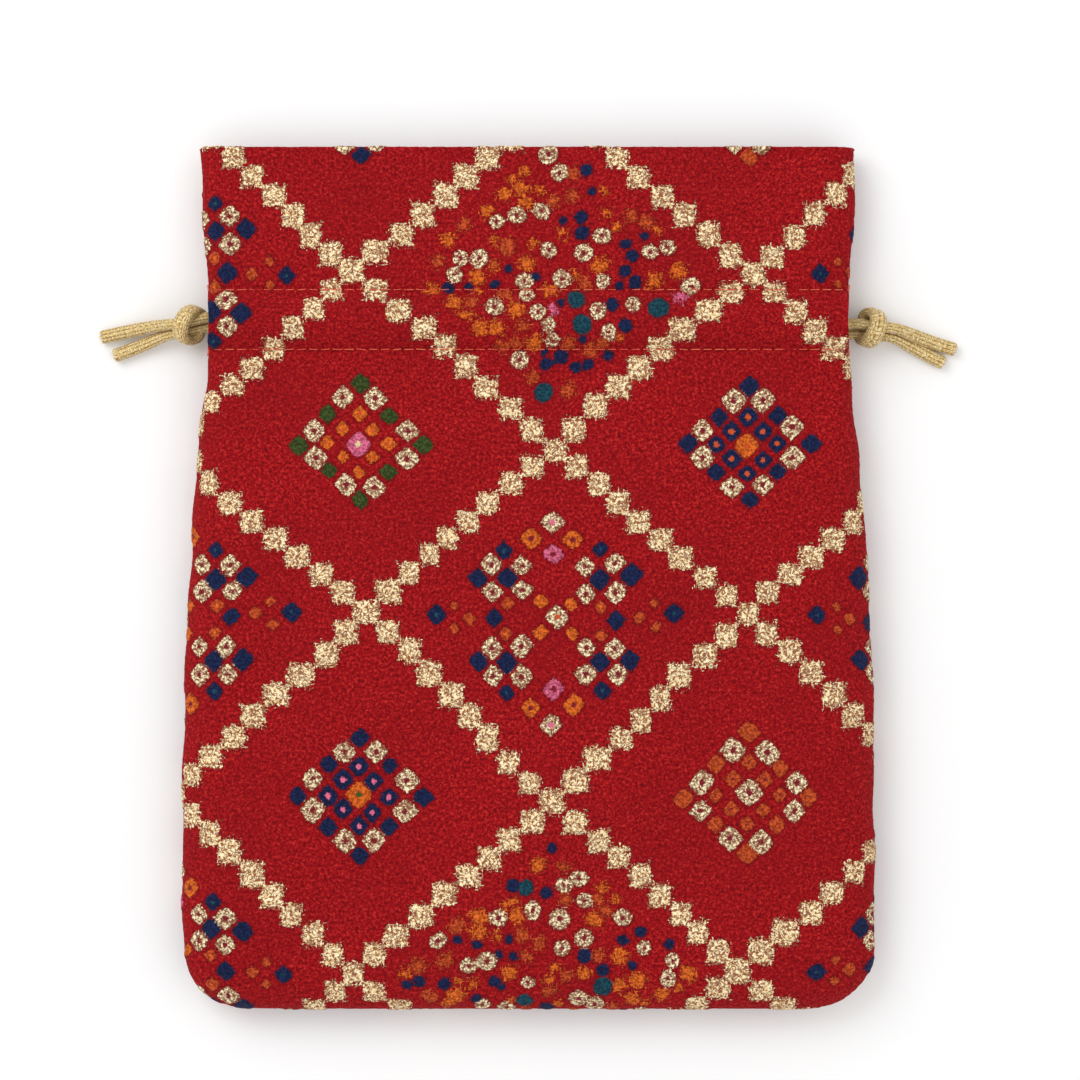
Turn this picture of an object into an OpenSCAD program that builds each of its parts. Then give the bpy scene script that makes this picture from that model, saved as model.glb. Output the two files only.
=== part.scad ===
// Drawstring gift pouch, lying flat on its back with the mouth towards +Y.
// Millimetres. +X runs across the pouch, +Y from the bottom seam to the mouth, +Z up.
// The origin is under the middle of the cloth, on the surface that the pouch lies on.
//
// Two cloth panels meet at a seam plane. Each panel's top is turned down inside as a hem, and two
// stitch lines through panel and hem make a channel. Two drawcords run round the channel from
// opposite side slits, and each is knotted where it comes out.

/* [Pouch] */
// Length from the bottom seam to the mouth
pouch_length = 232; // [220:1:250]
// Width at the belly, the widest place
belly_width = 186.4; // [180:0.2:200]
// Width at the drawcords
waist_width = 170; // [166:0.2:176]
// Width at the mouth
mouth_width = 176.6; // [174:0.2:184]
// Height of the belly above the bottom seam
belly_at = 40; // [30:1:60]
// Radius of the two bottom corners
corner_r = 17; // [14:1:22]

/* [Cloth] */
// Thickness of one layer of cloth
cloth_t = 0.8; // [0.6:0.1:1]
// How far the front panel stands over the seam plane at the belly
belly_front = 8.4; // [8:0.1:12]
// Extra rise in the middle of the front panel
crown = 1.4; // [0:0.1:3]
// Width of the rounded rim at the belly
belly_rim = 16; // [12:1:20]
// Width of the rounded rim at the neck
neck_rim = 7; // [6:0.5:8]
// Width of the seam allowances inside
allowance_w = 7.5; // [5:0.5:9]

/* [Channel] */
// Header between the mouth and the upper stitch line
header_h = 38.5; // [34:0.5:44]
// Height of the channel between its two stitch lines
channel_h = 16; // [15:0.5:18]
// Hem below the lower stitch line
hem_tail = 5; // [3:0.5:8]
// Clear gap between the two hems at the mouth
mouth_gap = 7.2; // [6.8:0.2:8]
// How far the hems dip into the gap along the channel
hem_dip = 0.7; // [0.5:0.1:0.9]
// How far the mouth droops below the seam plane
droop = 1; // [0:0.1:1.2]

/* [Drawcords] */
// Diameter of a drawcord
cord_d = 3.2; // [2.8:0.1:3.2]
// Diameter of a knot
knot_d = 10.8; // [10:0.2:12]
// Length of a knot along its cord
knot_l = 7.6; // [7:0.2:9]

/* [Stitching] */
// Thickness of the sewing thread
thread_d = 0.4; // [0.3:0.05:0.5]
// Length of one stitch
stitch_l = 2.2; // [1.8:0.1:2.6]
// Distance from one stitch to the next
stitch_pitch = 3.2; // [3:0.1:4]

/* [Hidden] */

cloth_red = [0.62, 0.07, 0.09];
cord_gold = [0.80, 0.70, 0.45];
thread_red = [0.78, 0.16, 0.12];

// Small gaps: between cloth layers, and round a cord in its channel.
layer_gap = 0.05;
cord_gap = 0.15;

// Places along the pouch, from the bottom seam.
upper_line = pouch_length - header_h;
lower_line = upper_line - channel_h;
cord_line = (upper_line + lower_line) / 2;
fill_length = 45;
rim_length = 70;
crown_fade = 60;

// The waist: how sharply the sides draw in above the belly, and a small notch at the drawcords.
waist_power = 2.4;
notch_slope = 0.12;
notch_r = 4;

// Distances from the seam plane, outwards.
hem_depth = mouth_gap / 2 + cloth_t;
header_depth = hem_depth + layer_gap + cloth_t;
run_offset = hem_depth - hem_dip + cord_gap + cord_d / 2;
channel_depth = run_offset + cord_d / 2 + cord_gap + cloth_t;
seam_z = channel_depth + layer_gap / 2;

// The hems stop short of the side seams, so that a cord can turn round their ends.
hem_inset = 8;
hem_rim = 4;

// The two cords lie side by side in the channel, each straight as far as run_end on both faces.
run_pitch = cord_d + 0.5;
bight_x = 75.3;
run_end = 75.5;
run_mid = 40;

function smooth(t) = let (c = min(1, max(0, t))) c * c * (3 - 2 * c);
function row_y(v) = v - pouch_length / 2;

// Half the width above the bottom corners, v along the pouch. It is narrowest at the drawcords.
function notch(v) = let (d = abs(v - cord_line)) notch_slope * (sqrt(d * d + notch_r * notch_r) - d);
function side(v) =
    v < belly_at ? belly_width / 2
    : v < cord_line ? notch(v) + belly_width / 2
        - (belly_width - waist_width) / 2 * pow((v - belly_at) / (cord_line - belly_at), waist_power)
    : notch(v) + waist_width / 2 + (mouth_width - waist_width) / 2
        * (1 - pow(1 - (v - cord_line) / (pouch_length - cord_line), 2));

// 0 at the stitch lines and 1 half-way between them.
function bulge(v) = sqrt(max(0, 1 - pow((v - cord_line) / (channel_h / 2), 2)));
function rim_w(v) = neck_rim + (belly_rim - neck_rim) * smooth((lower_line - v) / rim_length);
function lean(v) = droop * smooth((v - upper_line) / header_h);
function panel_depth(v, belly) =
    v > lower_line ? header_depth + (channel_depth - header_depth) * bulge(v)
    : header_depth + (belly - header_depth) * smooth((lower_line - v) / fill_length);
// The side slit holds the panels' edges apart along the channel.
function slit_depth(v) = (channel_depth - cloth_t) * bulge(v);
function crown_at(v, q) = crown * pow(cos(90 * q), 2) * smooth((lower_line - v) / crown_fade)
    * smooth(v / crown_fade);

// A row of a panel is [v, half width, share of the full depth], drawn in by inset. Rows below
// corner_r go round the bottom corners.
channel_rows = [for (i = [0:8]) lower_line + channel_h * i / 8];
panel_rows = concat(
    [for (i = [1:13]) corner_r + (lower_line - corner_r) * i / 14],
    channel_rows,
    [for (i = [1:5]) upper_line + header_h * i / 5]
);
function end_share(v, inset) =
    let (w = belly_rim - inset, s = min(w, v - inset)) sqrt(max(0, 1 - pow(1 - s / w, 2)));
function rows_of_panel(inset) = concat(
    [for (a = [0:15:90]) let (r = corner_r - inset, v = corner_r - r * cos(a))
        [v, side(corner_r) - corner_r + r * sin(a), end_share(v, inset)]],
    [for (v = panel_rows) [v, side(v) - inset, end_share(v, inset)]]
);

// Across a row, q runs from -1 to 1: the outer halves go round the rims, the inner ones lie flat.
columns = [for (i = [-10:10]) i / 10];
function rim_angle(q) = min(90, 180 * (1 - abs(q)));
function across(q, half, rim) =
    abs(q) > 0.5 ? sign(q) * (half - rim * (1 - cos(rim_angle(q)))) : 2 * q * (half - rim);

// One face of a panel, in a frame with the seam plane at z = 0 and outwards up.
function panel_face(belly, crowned, facing, inset) = [
    for (r = rows_of_panel(inset)) [
        for (q = columns) let (v = r[0], edge = slit_depth(v)) [
            across(q, r[1], rim_w(v) - inset),
            row_y(v),
            edge + (panel_depth(v, belly) - inset - edge) * sin(rim_angle(q)) * r[2]
                + crowned * crown_at(v, q) - facing * lean(v)
        ]
    ]
];

hem_rows = concat(
    [lower_line - hem_tail], channel_rows, [for (i = [1:5]) upper_line + header_h * i / 5]
);
function hem_face(facing, inset) = [
    for (v = hem_rows) [
        for (q = columns) [
            across(q, side(v) - hem_inset - inset, hem_rim - inset),
            row_y(v),
            (hem_depth - hem_dip * bulge(v) - inset) * sin(rim_angle(q)) - facing * lean(v)
        ]
    ]
];

// A closed skin between an outer and an inner grid of points of the same size.
module skin(outer, inner) {
    rows = len(outer);
    cols = len(outer[0]);
    size = rows * cols;
    points = [for (face = [outer, inner]) for (row = face) for (p = row) p];
    top = [for (i = [0:rows - 2]) for (j = [0:cols - 2]) let (a = i * cols + j)
        each [[a, a + cols, a + 1], [a + 1, a + cols, a + cols + 1]]];
    under = [for (f = top) [f[0] + size, f[2] + size, f[1] + size]];
    rim = concat(
        [for (j = [0:cols - 1]) j],
        [for (i = [1:rows - 1]) i * cols + cols - 1],
        [for (j = [cols - 2:-1:0]) (rows - 1) * cols + j],
        [for (i = [rows - 2:-1:1]) i * cols]
    );
    sides = [for (k = [0:len(rim) - 1]) let (a = rim[k], b = rim[(k + 1) % len(rim)])
        each [[a, b, a + size], [b, b + size, a + size]]];
    polyhedron(points, concat(top, under, sides));
}

// Puts a piece drawn outwards from the seam plane on the front (1) or the back (-1).
module on_face(facing) {
    translate([0, 0, seam_z + facing * layer_gap / 2]) mirror([0, 0, facing < 0 ? 1 : 0]) children();
}

module panel(facing, belly, crowned) {
    color(cloth_red) on_face(facing)
        skin(panel_face(belly, crowned, facing, 0), panel_face(belly, crowned, facing, cloth_t));
}

module hem(facing) {
    color(cloth_red) on_face(facing) skin(hem_face(facing, 0), hem_face(facing, cloth_t));
}

// Two layers of cloth turned inwards from a seam, between two distances along the pouch.
allowance_gap = 1.2;
corner_clear = 2;
function allowance_face(hand, from, to, width, lift) = [
    for (i = [0:12]) let (v = from + (to - from) * i / 12, x = side(v) - allowance_gap) [
        for (out = hand > 0 ? [-width, 0] : [0, -width])
            [hand * (x + out), row_y(v), seam_z + lift - lean(v)]
    ]
];
module side_allowance(hand, from, to, width) {
    color(cloth_red) skin(
        allowance_face(hand, from, to, width, cloth_t), allowance_face(hand, from, to, width, -cloth_t)
    );
}

module bottom_allowance() {
    half = belly_width / 2 - corner_r - corner_clear;
    color(cloth_red) translate([-half, row_y(allowance_gap), seam_z - cloth_t])
        cube([2 * half, allowance_w, 2 * cloth_t]);
}

// A stitch lying along X, its middle at the origin.
module stitch() {
    rotate([0, 90, 0]) cylinder(h = stitch_l, d = thread_d, center = true, $fn = 16);
}

// Stitches along a channel line: on the outside of the panel and on the inside of the hem.
module channel_stitching(facing, v) {
    lift = thread_d / 2 + layer_gap;
    outside = floor((side(v) - neck_rim - stitch_l / 2) / stitch_pitch);
    inside = floor((side(v) - hem_inset - hem_rim - stitch_l / 2) / stitch_pitch);
    color(thread_red) on_face(facing) {
        for (i = [-outside:outside])
            translate([i * stitch_pitch, row_y(v), header_depth + lift]) stitch();
        for (i = [-inside:inside])
            translate([i * stitch_pitch, row_y(v), hem_depth - cloth_t - lift]) stitch();
    }
}

// Stitches down a side seam, on both sides of its allowance, which runs stitch_clear past them.
seam_line_in = 2.6;
stitch_clear = 2;
module side_stitching(hand, from, to) {
    lift = cloth_t + thread_d / 2 + layer_gap;
    count = floor((to - from) / stitch_pitch);
    color(thread_red) for (i = [0:count]) {
        v = from + i * stitch_pitch;
        tilt = atan((side(v + 1) - side(v - 1)) / 2);
        for (up = [-1, 1])
            translate([hand * (side(v) - seam_line_in), row_y(v), seam_z + up * lift - lean(v)])
                rotate([0, 0, 90 - hand * tilt]) stitch();
    }
}

module bottom_stitching() {
    lift = cloth_t + thread_d / 2 + layer_gap;
    count = floor((belly_width / 2 - corner_r - corner_clear - stitch_clear) / stitch_pitch);
    color(thread_red) for (i = [-count:count]) for (up = [-1, 1])
        translate([i * stitch_pitch, row_y(seam_line_in), seam_z + up * lift]) stitch();
}

// Bar tacks that close a slit's two ends: three turns of thread round the edge at each.
tack_l = 2.6;
tack_pitch = 0.6;
module bar_tacks(hand) {
    color(thread_red) for (v = [lower_line, upper_line]) for (i = [-1:1])
        translate([hand * (side(v) + thread_d / 2 + layer_gap), row_y(v + i * tack_pitch), seam_z])
            cylinder(h = tack_l, d = thread_d, center = true, $fn = 16);
}

// A round tube swept through points, in directions that are never along Y.
module tube(route, d) {
    sides = 8;
    last = len(route) - 1;
    function unit(p) = p / norm(p);
    function step(i) = unit(route[i + 1] - route[i]);
    function heading(i) = unit(step(max(i - 1, 0)) + step(min(i, last - 1)));
    rings = [for (i = [0:last]) let (t = heading(i), a = unit(cross(t, [0, 1, 0])), b = cross(t, a))
        each [for (k = [0:sides - 1])
            route[i] + d / 2 * (a * cos(360 * k / sides) + b * sin(360 * k / sides))]];
    walls = [for (i = [0:last - 1]) for (k = [0:sides - 1])
        let (a = i * sides + k, b = i * sides + (k + 1) % sides)
        each [[a, b, a + sides], [b, b + sides, a + sides]]];
    start = [for (k = [sides - 1:-1:0]) k];
    finish = [for (k = [0:sides - 1]) last * sides + k];
    polyhedron(rings, concat(walls, [start, finish]));
}

// The way between a knot and the channel, for the strand in front and the strand at the back.
left_front_lead = [[-87.2, 70.4, 6.6], [-85.8, 70.4, 6.6], [-83.4, 71, 8], [-79.8, 71.3, 11.2]];
left_back_lead = [[-79.8, 70.9, 2.9], [-83.4, 69.3, 3.7], [-85.8, 67.9, 4.2], [-87.2, 67.9, 4.2]];
right_front_lead = [[88.2, 68.7, 6.6], [86.8, 68.7, 6.6], [84.4, 68.4, 8], [80.2, 67.8, 11.2]];
right_back_lead = [[80.2, 67.4, 2.9], [84.4, 66.6, 3.7], [86.8, 66.1, 4.2], [88.2, 66.1, 4.2]];

// The middles of the knots, and the loose tails from there to their ends on the surface.
left_knot_at = [-91, 68.4, knot_d / 2];
right_knot_at = [92, 67.6, knot_d / 2];
left_upper_route = [[-94.8, 68.6, 6.7], [-96.2, 68.6, 6.7], [-99, 68.4, 5.9], [-103, 67.9, 3.8],
    [-107, 67.2, 2.2], [-111, 66.4, 1.6], [-115.5, 65.4, 1.6]];
left_lower_route = [[-94.8, 66.2, 4.5], [-96.2, 66.2, 4.5], [-98.6, 65.6, 3.8], [-102, 64.3, 2.5],
    [-105.2, 63, 1.7], [-108.6, 61.7, 1.6], [-112, 60.4, 1.6]];
right_upper_route = [[95.8, 67.7, 6.9], [97.2, 67.7, 6.9], [100, 67.2, 6.1], [103.8, 66, 4],
    [107.6, 64.6, 2.3], [111.4, 63.3, 1.6], [115.3, 62.1, 1.6]];
right_lower_route = [[95.8, 65.5, 4.4], [97.2, 65.5, 4.4], [99.6, 64.8, 3.8], [102.6, 63.4, 2.6],
    [105.6, 61.9, 1.7], [108.8, 60.2, 1.6], [112.2, 58.5, 1.6]];

// A drawcord from its knot along the front channel, round the far end of the hems and back along
// the back channel. hand is the side of its knot.
module drawcord(hand, front_lead, back_lead) {
    y = row_y(cord_line) - hand * run_pitch / 2;
    high = seam_z + run_offset;
    low = seam_z - run_offset;
    bight = [for (a = [90:-15:-90]) [bight_x + run_offset * cos(a), seam_z + run_offset * sin(a)]];
    run = concat([[-run_end, high], [-run_mid, high], [0, high], [run_mid, high]], bight,
        [[run_mid, low], [0, low], [-run_mid, low], [-run_end, low]]);
    color(cord_gold)
        tube(concat(front_lead, [for (p = run) [-hand * p[0], y, p[1]]], back_lead), cord_d);
}

module knot(at) {
    flat_r = 4;
    round_r = knot_d / 2 - flat_r;
    color(cord_gold) translate(at) rotate([0, 90, 0]) rotate_extrude($fn = 48) polygon(concat(
        [[0, -knot_l / 2]],
        [for (a = [-90:15:90]) [flat_r + round_r * cos(a), (knot_l / 2) * sin(a)]],
        [[0, knot_l / 2]]
    ));
}

module tail(route) {
    color(cord_gold) tube(route, cord_d);
}

// Where the side and header allowances begin and end, clear of the corners, hems and mouth.
side_from = corner_r + 3;
side_to = lower_line - hem_tail - 1;
header_from = upper_line + 3;
header_to = pouch_length - 2;
hem_clear = 0.8;
header_allowance_w = hem_inset - allowance_gap - hem_clear;

panel(1, belly_front, 1);  // front_panel
panel(-1, channel_depth, 0);  // back_panel
hem(1);  // front_hem
hem(-1);  // back_hem
side_allowance(-1, side_from, side_to, allowance_w);  // left_seam_allowance
side_allowance(1, side_from, side_to, allowance_w);  // right_seam_allowance
bottom_allowance();  // bottom_seam_allowance
side_stitching(-1, side_from + stitch_clear, side_to - stitch_clear);  // left_seam_stitching
side_stitching(1, side_from + stitch_clear, side_to - stitch_clear);  // right_seam_stitching
bottom_stitching();  // bottom_seam_stitching
channel_stitching(1, upper_line);  // front_upper_channel_stitching
channel_stitching(1, lower_line);  // front_lower_channel_stitching
channel_stitching(-1, upper_line);  // back_upper_channel_stitching
channel_stitching(-1, lower_line);  // back_lower_channel_stitching
side_allowance(-1, header_from, header_to, header_allowance_w);  // left_header_allowance
side_stitching(-1, header_from + stitch_clear, header_to - stitch_clear);  // left_header_stitching
bar_tacks(-1);  // left_bar_tacks
side_allowance(1, header_from, header_to, header_allowance_w);  // right_header_allowance
side_stitching(1, header_from + stitch_clear, header_to - stitch_clear);  // right_header_stitching
bar_tacks(1);  // right_bar_tacks
drawcord(-1, left_front_lead, left_back_lead);  // left_drawcord
knot(left_knot_at);  // left_knot
tail(left_upper_route);  // left_upper_tail
tail(left_lower_route);  // left_lower_tail
drawcord(1, right_front_lead, right_back_lead);  // right_drawcord
knot(right_knot_at);  // right_knot
tail(right_upper_route);  // right_upper_tail
tail(right_lower_route);  // right_lower_tail
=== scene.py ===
import math

import bpy
import numpy as np
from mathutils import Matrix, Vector


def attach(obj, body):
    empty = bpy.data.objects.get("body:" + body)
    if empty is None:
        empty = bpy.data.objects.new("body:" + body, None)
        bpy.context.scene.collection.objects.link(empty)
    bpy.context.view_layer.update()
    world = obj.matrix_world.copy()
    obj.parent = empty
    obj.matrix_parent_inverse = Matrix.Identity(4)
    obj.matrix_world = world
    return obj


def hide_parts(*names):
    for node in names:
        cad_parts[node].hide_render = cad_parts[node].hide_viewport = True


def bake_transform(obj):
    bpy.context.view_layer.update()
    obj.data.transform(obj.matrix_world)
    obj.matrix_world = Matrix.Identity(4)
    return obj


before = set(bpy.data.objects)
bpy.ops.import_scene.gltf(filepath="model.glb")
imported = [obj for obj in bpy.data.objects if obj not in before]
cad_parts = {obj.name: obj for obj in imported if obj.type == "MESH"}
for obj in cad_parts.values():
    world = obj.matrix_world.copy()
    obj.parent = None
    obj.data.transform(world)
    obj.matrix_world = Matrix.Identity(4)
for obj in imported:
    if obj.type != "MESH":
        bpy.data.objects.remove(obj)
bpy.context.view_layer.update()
MM = 0.001

# ---------------------------------------------------------------- sizes, in mm, as in the CAD
LENGTH, BELLY_W, WAIST_W, MOUTH_W = 232.0, 186.4, 170.0, 176.6
BELLY_AT, CORNER_R = 40.0, 17.0
BELLY_FRONT, CROWN = 8.4, 1.4
BELLY_RIM, NECK_RIM = 16.0, 7.0
UPPER, LOWER = 193.5, 177.5
CORD_LINE = (UPPER + LOWER) / 2
CHANNEL_H, HEADER_H, HEM_TAIL = UPPER - LOWER, LENGTH - UPPER, 5.0
HEM_DIP, DROOP = 0.7, 1.0
HEADER_DEPTH, CHANNEL_DEPTH = 5.25, 8.0
RUN_OFFSET, RUN_PITCH, BIGHT_X = 5.45, 3.7, 75.3
RUN_END, RUN_MID = 75.5, 40
SEAM_Z = 8.025
CORD_D = 3.2
STITCH_L, STITCH_PITCH, THREAD_R, FIBRE_R = 2.2, 3.2, 0.17, 0.05


def smooth(t):
    c = np.clip(t, 0.0, 1.0)
    return c * c * (3 - 2 * c)


def row_y(v):
    return v - LENGTH / 2


def side(v):
    v = np.asarray(v, float)
    d = np.abs(v - CORD_LINE)
    notch = 0.12 * (np.sqrt(d * d + 16) - d)
    t = np.clip((v - BELLY_AT) / (CORD_LINE - BELLY_AT), 0, 1)
    u = np.clip((v - CORD_LINE) / (LENGTH - CORD_LINE), 0, 1)
    low = BELLY_W / 2 - (BELLY_W - WAIST_W) / 2 * t**2.4
    high = WAIST_W / 2 + (MOUTH_W - WAIST_W) / 2 * (1 - (1 - u) ** 2)
    return np.where(v < BELLY_AT, BELLY_W / 2, np.where(v < CORD_LINE, low, high) + notch)


def half_width(v):
    v = np.asarray(v, float)
    arc = np.sqrt(np.maximum(0, CORNER_R**2 - (CORNER_R - v) ** 2))
    return np.where(v < CORNER_R, side(CORNER_R) - CORNER_R + arc, side(v))


def bulge(v):
    return np.maximum(0, 1 - ((v - CORD_LINE) / (CHANNEL_H / 2)) ** 2)


def lean(v):
    return DROOP * smooth((v - UPPER) / HEADER_H)


# ---------------------------------------------------------------- camera
scene = bpy.context.scene
cam_data = bpy.data.cameras.new("camera")
cam_data.lens = 120
cam_data.sensor_width = 36
cam = bpy.data.objects.new("camera", cam_data)
cam.location = (0.0031, 0.0104, 0.978)
scene.collection.objects.link(cam)
scene.camera = cam
scene.view_settings.view_transform = "Standard"


# ---------------------------------------------------------------- node helpers
class Tree:
    """Short calls for building one material's nodes."""

    def __init__(self, name):
        self.material = bpy.data.materials.new(name)
        self.material.use_nodes = True
        self.nodes, self.links = self.material.node_tree.nodes, self.material.node_tree.links
        self.shader = self.nodes["Principled BSDF"]

    def add(self, kind, inputs=(), **settings):
        node = self.nodes.new("ShaderNode" + kind)
        for key, value in settings.items():
            setattr(node, key, value)
        for key, value in dict(inputs).items():
            self.put(value, node.inputs[key])
        return node

    def put(self, value, socket):
        if isinstance(value, bpy.types.NodeSocket):
            self.links.new(value, socket)
        else:
            socket.default_value = value

    def math(self, operation, a, b=0.0, c=0.0):
        return self.add("Math", {0: a, 1: b, 2: c}, operation=operation).outputs[0]

    def ramp(self, value, low, high, to_low=0.0, to_high=1.0):
        node = self.add("MapRange", {0: value, 1: low, 2: high, 3: to_low, 4: to_high})
        node.clamp = True
        return node.outputs[0]

    def mix(self, factor, a, b, how="MIX"):
        node = self.add("Mix", data_type="RGBA", blend_type=how)
        self.put(factor, node.inputs[0])
        self.put(a, node.inputs[6])
        self.put(b, node.inputs[7])
        return node.outputs[2]

    def attribute(self, name, output="Fac"):
        return self.add("Attribute", attribute_name=name).outputs[output]

    def noise(self, vector, scale, detail=2.0, rough=0.5, distortion=0.0):
        node = self.add(
            "TexNoise",
            {
                "Vector": vector, "Scale": scale, "Detail": detail,
                "Roughness": rough, "Distortion": distortion,
            },
        )
        return node.outputs[0]

    def bump(self, height, strength, distance, normal=None):
        node = self.add("Bump", {"Height": height, "Strength": strength, "Distance": distance})
        if normal is not None:
            self.put(normal, node.inputs["Normal"])
        return node.outputs[0]


def rgb(r, g, b):
    return (r, g, b, 1.0)


RED_DEEP, RED, RED_LIT = rgb(0.12, 0.002, 0.004), rgb(0.31, 0.003, 0.006), rgb(0.54, 0.028, 0.024)
# Gold's lit colour is a painted highlight. Its gap colour is painted shade between the threads, partly the
# red cloth showing through.
GOLD, GOLD_LIT, GOLD_GAP_SHADE = rgb(0.80, 0.54, 0.25), rgb(1.0, 0.87, 0.57), rgb(0.21, 0.035, 0.016)
CREAM, NAVY, TEAL = (0.76, 0.59, 0.32), (0.010, 0.021, 0.080), (0.010, 0.070, 0.100)
ORANGE, PINK, GREEN = (0.78, 0.155, 0.018), (0.76, 0.15, 0.27), (0.05, 0.085, 0.018)
WINE, RUST = (0.20, 0.012, 0.02), (0.60, 0.085, 0.02)
SMEAR = (0.45, 0.03, 0.015)


def cloth_material():
    """Plush red cloth with raised gold bands and coloured tufts, placed by the mesh's own attributes."""
    t = Tree("patterned_plush")
    place = t.attribute("cloth", "Vector")
    nap = t.noise(place, 1.3, 3.0, 0.70, 0.5)
    patch = t.noise(place, 0.035, 2.0)
    red = t.mix(t.ramp(nap, 0.36, 0.52), RED_DEEP, RED)
    red = t.mix(t.ramp(nap, 0.52, 0.68), red, RED_LIT)
    red = t.mix(t.ramp(patch, 0.35, 0.7, 0.0, 0.35), red, rgb(0.20, 0.003, 0.006))

    rag = t.noise(place, 0.7, 2.0, 0.6)
    along = t.add("Mapping", {"Vector": place, "Scale": (0.55, 1.9, 1.0)}).outputs[0]
    upright = t.add("Mapping", {"Vector": place, "Scale": (1.9, 0.55, 1.0)}).outputs[0]
    fray = t.math("MAXIMUM", t.noise(along, 1.0, 2.0, 0.6), t.noise(upright, 1.0, 2.0, 0.6))
    push = t.math("ADD", t.math("MULTIPLY_ADD", rag, 2.2, -1.1), t.math("MULTIPLY_ADD", fray, -6.0, 3.35))
    gold_d = t.math("ADD", t.attribute("gold_d"), push)
    smear = t.attribute("dot_smear")
    dot_push = t.math("MULTIPLY", push, t.math("MULTIPLY_ADD", smear, 1.1, 0.42))
    dot_d = t.math("ADD", t.attribute("dot_d"), dot_push)
    core_d = t.math("MULTIPLY_ADD", push, 0.35, t.attribute("core_d"))

    # Gold thread: the dark squiggles and specks are painted shade between the threads, partly the red cloth
    # showing through, and the light specks are painted highlights. The same gaps also sink the bump.
    squiggle = t.math("ABSOLUTE", t.math("SUBTRACT", t.noise(place, 0.60, 2.0, 0.55, 1.0), 0.5))
    speck = t.noise(place, 1.35, 1.0, 0.5, 0.6)
    thread_gap_shade = t.math("MAXIMUM", t.ramp(squiggle, 0.015, 0.050, 1.0, 0.0), t.ramp(speck, 0.39, 0.44, 1.0, 0.0))
    gold = t.mix(t.ramp(speck, 0.46, 0.60), GOLD, GOLD_LIT)
    gold = t.mix(t.math("MULTIPLY", thread_gap_shade, 0.88), gold, GOLD_GAP_SHADE)

    tuft = t.attribute("dot_rgb", "Color")
    shaded = t.mix(1.0, tuft, rgb(0.30, 0.22, 0.26), "MULTIPLY")
    tuft = t.mix(t.ramp(speck, 0.42, 0.60, 0.75, 0.0), tuft, shaded)
    # Cream tufts get the same painted highlights, and painted shade in the gaps between their threads.
    tuft = t.mix(t.math("MULTIPLY", t.attribute("dot_pale"), t.ramp(speck, 0.48, 0.60)), tuft, GOLD_LIT)
    tuft = t.mix(t.math("MULTIPLY", t.attribute("dot_pale"), t.math("MULTIPLY", thread_gap_shade, 0.85)), tuft, GOLD_GAP_SHADE)
    tuft = t.mix(t.ramp(core_d, -0.15, 0.15, 1.0, 0.0), tuft, t.attribute("core_rgb", "Color"))

    on_dot = t.ramp(dot_d, -0.12, 0.12, 1.0, 0.0)
    on_gold = t.ramp(gold_d, -0.12, 0.12, 1.0, 0.0)
    # A painted shadow darkens the red in a ring just outside the tufts and the gold bands.
    painted_shadow_ring = t.math("MAXIMUM", t.ramp(dot_d, 0.1, 0.9, 0.5, 0.0), t.ramp(gold_d, 0.1, 0.9, 0.4, 0.0))
    colour = t.mix(painted_shadow_ring, red, rgb(0.10, 0.002, 0.006))
    colour = t.mix(on_dot, colour, tuft)
    colour = t.mix(on_gold, colour, gold)
    t.put(colour, t.shader.inputs["Base Color"])
    t.put(t.ramp(t.math("MAXIMUM", on_gold, on_dot), 0.0, 1.0, 0.82, 0.62), t.shader.inputs["Roughness"])

    raised = t.math("MAXIMUM", on_gold, on_dot)
    standing = t.math("MULTIPLY", raised, t.math("MULTIPLY_ADD", fray, 0.9, 0.2))
    height = t.math("ADD", t.math("MULTIPLY", nap, 0.5), standing)
    height = t.math("SUBTRACT", height, t.math("MULTIPLY", thread_gap_shade, t.math("MULTIPLY", raised, 0.35)))
    t.put(t.bump(height, 0.75, 0.0005), t.shader.inputs["Normal"])
    t.shader.inputs["Sheen Weight"].default_value = 0.04
    t.shader.inputs["Sheen Roughness"].default_value = 0.45
    t.shader.inputs["Sheen Tint"].default_value = rgb(1.0, 0.35, 0.3)
    t.shader.inputs["Specular IOR Level"].default_value = 0.08
    return t.material


def reverse_material():
    """The cloth's reverse side: a plain weave with the colours showing faintly through."""
    t = Tree("cloth_reverse")
    place = t.attribute("cloth", "Vector")
    warp = t.add("TexWave", {"Vector": place, "Scale": 1.1, "Distortion": 1.2}, bands_direction="X")
    weft = t.add("TexWave", {"Vector": place, "Scale": 1.1, "Distortion": 1.2}, bands_direction="Y")
    weave = t.math("MULTIPLY", warp.outputs["Fac"], weft.outputs["Fac"])
    fuzz = t.noise(place, 0.8, 3.0, 0.6)
    colour = t.mix(t.ramp(weave, 0.1, 0.8), rgb(0.16, 0.004, 0.008), rgb(0.40, 0.02, 0.025))
    colour = t.mix(t.ramp(fuzz, 0.4, 0.7, 0.0, 0.5), colour, rgb(0.30, 0.05, 0.04))
    t.put(colour, t.shader.inputs["Base Color"])
    t.put(t.bump(weave, 0.5, 0.0003), t.shader.inputs["Normal"])
    t.shader.inputs["Roughness"].default_value = 0.85
    return t.material


def thread_material():
    """Twisted polyester sewing thread."""
    t = Tree("sewing_thread")
    where = t.add("TexCoord").outputs["Object"]
    twist = t.add("TexWave", {"Vector": where, "Scale": 900.0, "Distortion": 0.6}, bands_direction="DIAGONAL")
    shade = t.noise(where, 160.0, 1.0)
    colour = t.mix(twist.outputs["Fac"], rgb(0.40, 0.02, 0.012), rgb(0.85, 0.10, 0.045))
    colour = t.mix(t.ramp(shade, 0.45, 0.7, 0.0, 0.6), colour, rgb(0.80, 0.17, 0.08))
    t.put(colour, t.shader.inputs["Base Color"])
    t.put(t.bump(twist.outputs["Fac"], 0.4, 0.0001), t.shader.inputs["Normal"])
    t.shader.inputs["Roughness"].default_value = 0.5
    return t.material


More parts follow.
